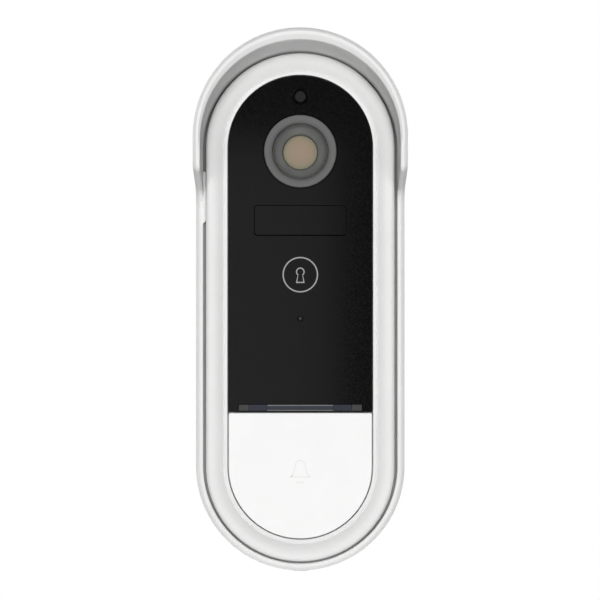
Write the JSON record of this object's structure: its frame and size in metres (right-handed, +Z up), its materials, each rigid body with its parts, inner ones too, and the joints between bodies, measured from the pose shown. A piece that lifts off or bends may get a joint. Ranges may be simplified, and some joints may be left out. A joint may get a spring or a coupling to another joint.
{
  "type": "video doorbell",
  "caption": "Battery video doorbell with a tall round-ended body, black camera face and wide lower push button, held in a wall-mounted rain cover with a hood.",
  "frame": {"origin": "centre of the flat back of the rain cover, on the wall's face, midway between the centres of the round ends", "axes": "+X to the visitor's right, +Y into the wall, +Z up"},
  "size_m": [0.0554, 0.0505, 0.1426],
  "materials": {
    "cover_white": "fine satin moulding",
    "casing_white": "satin to semi-gloss moulding",
    "button_white": "smooth semi-gloss with a low raised bell outline",
    "face_black": "high gloss, passes infrared",
    "lens_grey": "fine matt grey",
    "smoked_window": "smoked, slightly blue",
    "clear_glass": "polished, coated",
    "lens_glass": "polished with a warm coating",
    "filter_glass": "thin cyan pane",
    "plastic_black": "fine texture",
    "rubber_dark": "matt",
    "rubber_white": "matt",
    "board_green": "solder mask",
    "steel": "bright, machined",
    "nickel": "nickel plated",
    "cell_body": "shrink sleeve over a metal can",
    "led_clear": "water clear"
  },
  "bodies": {
    "rain_cover": {"rain_cover": "cover_white", "mounting_bracket": "plastic_black", "bracket_screw_upper": "steel", "bracket_screw_lower": "steel", "security_screw": "steel"},
    "doorbell_unit": {"front_bezel": "casing_white", "rear_housing": "casing_white", "casing_seal": "rubber_dark", "casing_screw_upper_left": "steel", "casing_screw_upper_right": "steel", "casing_screw_lower_left": "steel", "casing_screw_lower_right": "steel", "battery_door": "casing_white", "battery_door_seal": "rubber_dark", "battery_door_screw_left": "steel", "battery_door_screw_right": "steel", "battery_cell_left": "cell_body", "battery_cell_right": "cell_body", "battery_contact_upper": "nickel", "battery_contact_lower": "nickel", "face_plate": "face_black", "motion_sensor_window": "face_black", "light_sensor_window": "smoked_window", "slot_window": "smoked_window", "speaker_mesh": "plastic_black", "status_led_left": "led_clear", "status_led_right": "led_clear", "lens_ring": "lens_grey", "lens_window": "clear_glass", "lens_barrel": "lens_grey", "front_lens": "lens_glass", "lens_holder": "plastic_black", "image_sensor": "face_black", "camera_board": "board_green", "sensor_board": "board_green", "infrared_led_upper_left": "led_clear", "infrared_led_upper_right": "led_clear", "infrared_led_lower_left": "led_clear", "infrared_led_lower_right": "led_clear", "light_sensor": "plastic_black", "motion_sensor": "steel", "microphone": "steel", "microphone_boot": "rubber_dark", "speaker": "plastic_black", "speaker_gasket": "rubber_dark", "button_seal": "rubber_dark", "button_switch": "plastic_black", "main_board": "board_green", "wifi_module": "steel", "antenna": "plastic_black", "charging_socket": "steel", "reset_switch": "plastic_black", "port_flap": "rubber_white", "pressure_vent": "rubber_white"},
    "doorbell_button": {"button_cap": "button_white"},
    "switch_stem": {"button_switch_stem": "plastic_black"},
    "reset_key": {"reset_key": "casing_white"},
    "filter_slide": {"filter_slide": "plastic_black", "infrared_cut_pane": "filter_glass", "clear_pane": "clear_glass"}
  },
  "joints": [
    {"name": "unit_lift_off", "type": "slide", "parent": "rain_cover", "child": "doorbell_unit", "axis": [0, -1, 0], "range_m": [0, 0.05]},
    {"name": "button_press", "type": "slide", "parent": "doorbell_unit", "child": "doorbell_button", "axis": [0, 1, 0], "range_m": [0, 0.0006], "stiffness_N_per_m": 1800, "springref_m": -0.0004},
    {"name": "switch_stem_press", "type": "slide", "parent": "doorbell_unit", "child": "switch_stem", "axis": [0, 1, 0], "range_m": [0, 0.0006]},
    {"name": "reset_press", "type": "slide", "parent": "doorbell_unit", "child": "reset_key", "axis": [1, 0, 0], "range_m": [0, 0.0003], "stiffness_N_per_m": 2000, "springref_m": -0.0002},
    {"name": "filter_slide_move", "type": "slide", "parent": "doorbell_unit", "child": "filter_slide", "axis": [1, 0, 0], "range_m": [0, 0.006]}
  ],
  "couplings": [
    {"joint": "switch_stem_press", "follows": "button_press", "ratio": 1}
  ]
}
